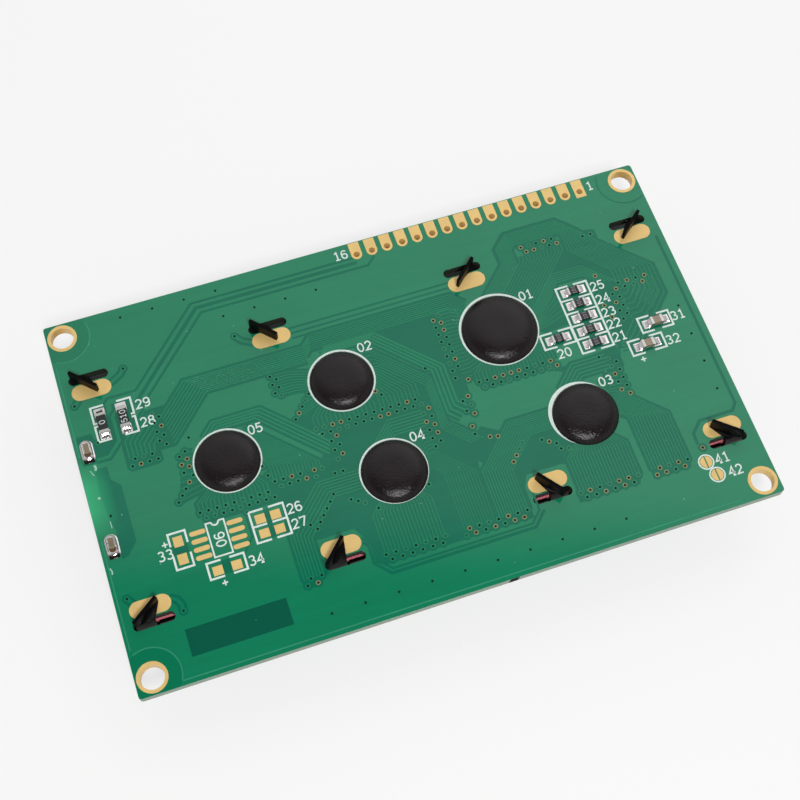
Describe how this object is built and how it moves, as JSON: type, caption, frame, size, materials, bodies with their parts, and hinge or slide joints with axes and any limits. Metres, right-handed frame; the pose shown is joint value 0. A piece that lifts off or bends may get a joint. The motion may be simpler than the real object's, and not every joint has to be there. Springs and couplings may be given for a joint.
{
  "type": "character lcd module",
  "caption": "Character display module: a circuit board with corner mounting holes and a header row, over a folded steel bezel, display glass and edge-lit backlight.",
  "frame": {"origin": "middle of the bezel's front face, which the module lies on", "axes": "+X along the board's long side, +Y towards the header row, +Z out of the component side"},
  "size_m": [0.098, 0.06, 0.0132],
  "materials": {
    "green_laminate": "semi-gloss green solder mask over glass-epoxy laminate",
    "black_steel": "gloss black coated steel sheet",
    "display_glass": "clear float glass",
    "polarizer_film": "smoky grey-green polarizer film",
    "pink_silicone": "matt pink silicone",
    "white_plastic": "matt white moulding",
    "diffuser_plastic": "frosted white film",
    "clear_acrylic": "clear acrylic",
    "led_ceramic": "white lamp body with a yellow phosphor window",
    "tinned_copper": "dull tinned copper alloy",
    "solder": "bright solder",
    "gold_plating": "satin gold plating",
    "black_epoxy": "satin black potting epoxy",
    "resistor_chip": "black glazed chip with tinned ends",
    "capacitor_chip": "tan ceramic chip with tinned ends"
  },
  "bodies": {
    "root": {"anode_lead": "tinned_copper", "anode_lead_solder": "solder", "backlight_frame": "white_plastic", "backlight_leds": "led_ceramic", "bezel": "black_steel", "capacitor_c1": "capacitor_chip", "capacitor_c2": "capacitor_chip", "cathode_lead": "tinned_copper", "cathode_lead_solder": "solder", "chip_solder_joints": "solder", "circuit_board": "green_laminate", "diffuser_film": "diffuser_plastic", "elastomer_strip_lower": "pink_silicone", "elastomer_strip_upper": "pink_silicone", "epoxy_blob_u1": "black_epoxy", "epoxy_blob_u2": "black_epoxy", "epoxy_blob_u3": "black_epoxy", "epoxy_blob_u4": "black_epoxy", "epoxy_blob_u5": "black_epoxy", "front_glass": "display_glass", "front_polarizer": "polarizer_film", "header_pads": "gold_plating", "jumper_pads": "gold_plating", "led_strip_board": "green_laminate", "light_guide": "clear_acrylic", "mounting_hole_plating": "gold_plating", "rear_glass": "display_glass", "rear_polarizer": "polarizer_film", "reflector_film": "white_plastic", "resistor_r1": "resistor_chip", "resistor_r2": "resistor_chip", "resistor_r3": "resistor_chip", "resistor_r4": "resistor_chip", "resistor_r5": "resistor_chip", "resistor_r8": "resistor_chip", "resistor_r9": "resistor_chip", "resistor_rf": "resistor_chip", "spare_chip_pads": "gold_plating", "spare_ic_pads": "gold_plating", "tab_ground_pads": "gold_plating"}
  },
  "joints": []
}
